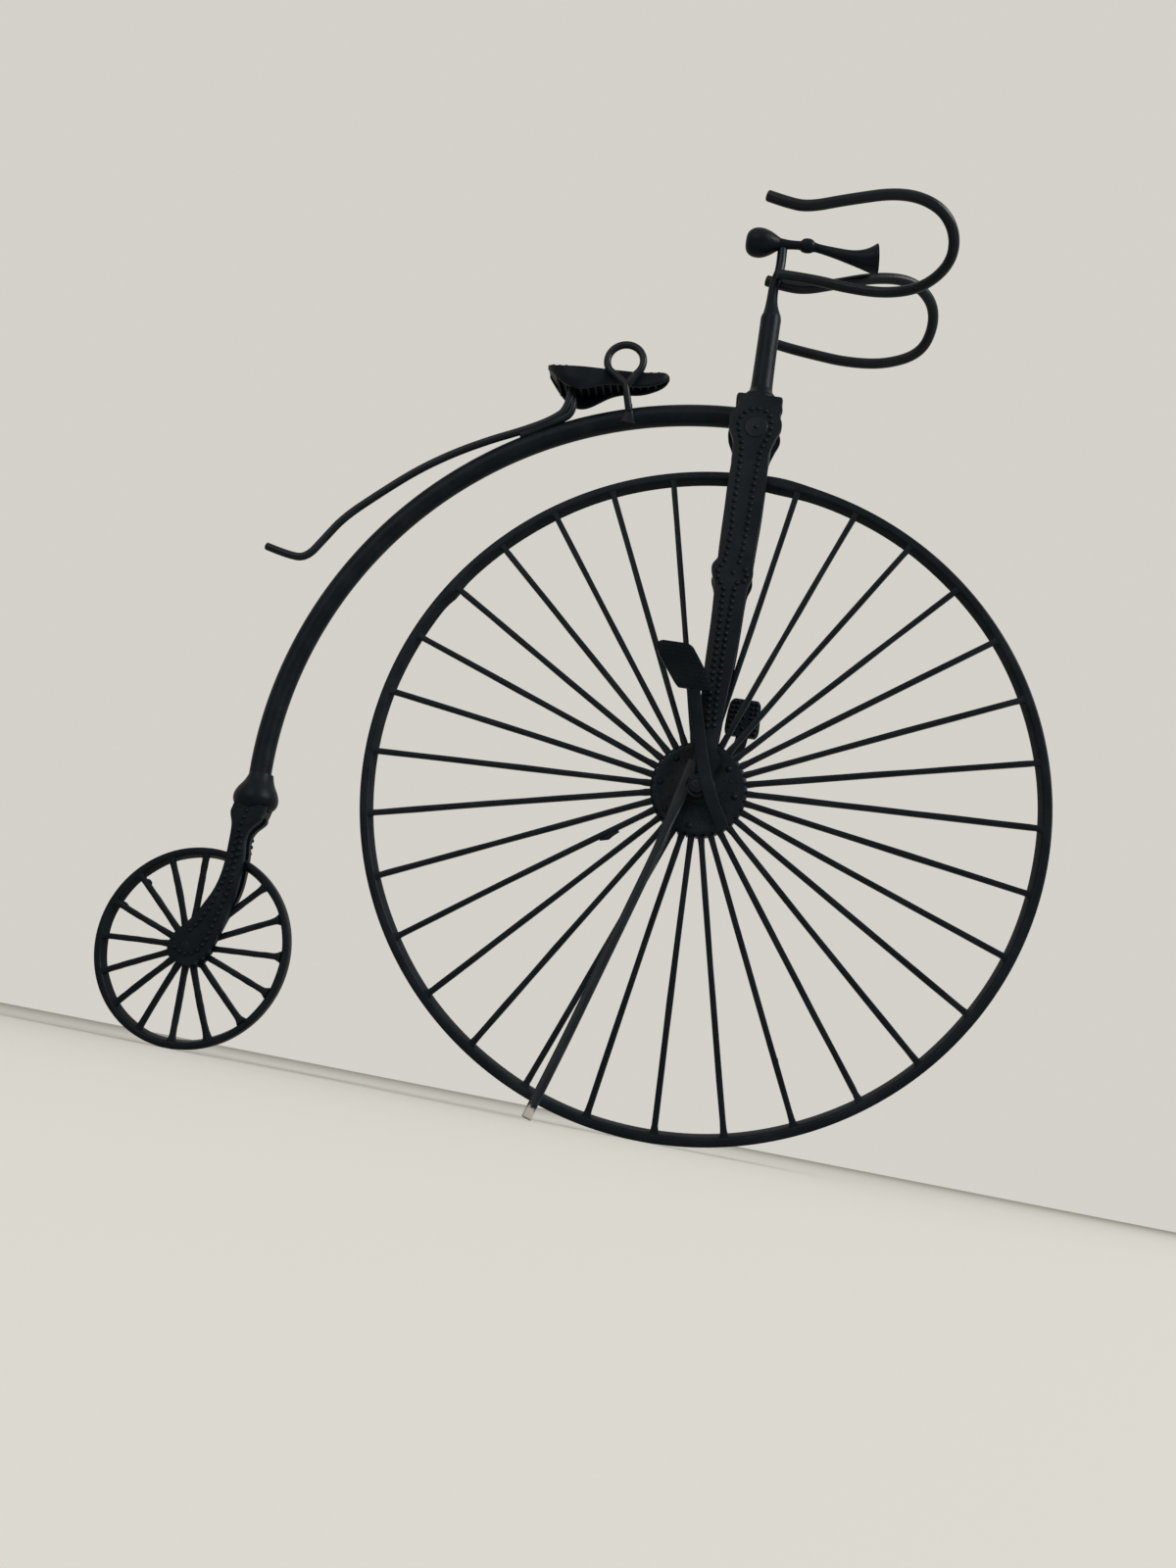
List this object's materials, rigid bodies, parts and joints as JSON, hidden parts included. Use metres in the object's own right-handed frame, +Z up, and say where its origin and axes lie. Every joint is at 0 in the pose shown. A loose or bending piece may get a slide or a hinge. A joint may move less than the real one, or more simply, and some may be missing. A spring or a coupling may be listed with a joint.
{
  "type": "penny farthing ornament",
  "caption": "Miniature penny farthing of cast metal and bent wire, with turning spoked wheels, saddle, horn, hanging eye and a hinged prop leg that it leans on.",
  "frame": {"origin": "on the ground at the middle of the parked machine's outline, seen from above", "axes": "+X forwards along the machine, +Y away from the side with the prop leg, +Z up"},
  "size_m": [0.201, 0.0568, 0.213],
  "materials": {
    "cast_paint": "satin black paint over cast metal",
    "wire_paint": "semi-matt black paint over bent wire",
    "pin_paint": "black paint over rivets and pins"
  },
  "bodies": {
    "frame": {"backbone": "cast_paint", "crank_far": "cast_paint", "crank_near": "cast_paint", "crown_block": "cast_paint", "crown_rivet": "pin_paint", "fork_blade_far": "cast_paint", "fork_blade_near": "cast_paint", "front_axle": "pin_paint", "handlebar_far": "wire_paint", "handlebar_near": "wire_paint", "hanging_eye": "wire_paint", "horn_bulb": "cast_paint", "horn_riser": "wire_paint", "horn_trumpet": "cast_paint", "pedal_far": "cast_paint", "pedal_near": "cast_paint", "rear_axle": "pin_paint", "rear_collar": "cast_paint", "rear_plate_far": "cast_paint", "rear_plate_near": "cast_paint", "saddle": "cast_paint", "saddle_spring": "wire_paint", "stem": "cast_paint"},
    "front_wheel": {"front_wheel": "cast_paint"},
    "rear_wheel": {"rear_wheel": "cast_paint"},
    "stand": {"stand_leg": "wire_paint"}
  },
  "joints": [
    {"name": "front_wheel_spin", "type": "hinge", "parent": "frame", "child": "front_wheel", "pos_m": [0.0255, 0.00728, 0.07493], "axis": [0, 0.9983, 0.0576], "continuous": true},
    {"name": "rear_wheel_spin", "type": "hinge", "parent": "frame", "child": "rear_wheel", "pos_m": [-0.0783, 0.01032, 0.02221], "axis": [0, 0.9983, 0.0576], "continuous": true},
    {"name": "stand_swing", "type": "hinge", "parent": "frame", "child": "stand", "pos_m": [0.0255, 0.00728, 0.07493], "axis": [0, 0.9983, 0.0576], "range_deg": [-15.6, 75]}
  ]
}
